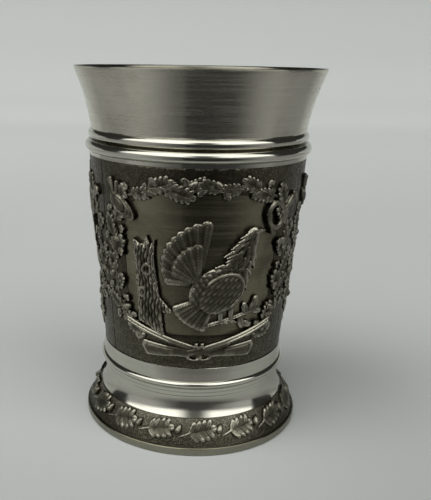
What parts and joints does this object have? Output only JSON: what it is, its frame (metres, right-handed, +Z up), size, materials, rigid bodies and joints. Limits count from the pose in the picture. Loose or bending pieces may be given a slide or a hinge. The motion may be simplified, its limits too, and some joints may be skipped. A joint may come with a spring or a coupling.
{
  "type": "pewter shot cup",
  "caption": "Footed pewter shot cup with a flared satin lip, beaded collar, antiqued hunting relief round the wall, polished waist and an oak-leaf foot.",
  "frame": {"origin": "centre of the foot's resting ring, on the table", "axes": "+Z up along the cup's axis; the first relief panel faces -Y"},
  "size_m": [0.0474, 0.0474, 0.07],
  "materials": {
    "satin_pewter": "lathe-brushed satin",
    "polished_pewter": "polished on the lathe",
    "antiqued_pewter": "cast, darkened and rubbed bright on its high places",
    "solder": "dull as flowed"
  },
  "bodies": {
    "root": {"beaker": "satin_pewter", "collar": "polished_pewter", "waist_ring": "polished_pewter", "foot": "polished_pewter", "oak_border_ring": "antiqued_pewter", "base_solder_fillet": "solder", "wreath_frame_1": "antiqued_pewter", "wreath_frame_2": "antiqued_pewter", "wreath_frame_3": "antiqued_pewter", "game_bird_1": "antiqued_pewter", "game_bird_2": "antiqued_pewter", "game_bird_3": "antiqued_pewter", "tree_trunk_1": "antiqued_pewter", "tree_trunk_2": "antiqued_pewter", "tree_trunk_3": "antiqued_pewter"}
  },
  "joints": []
}
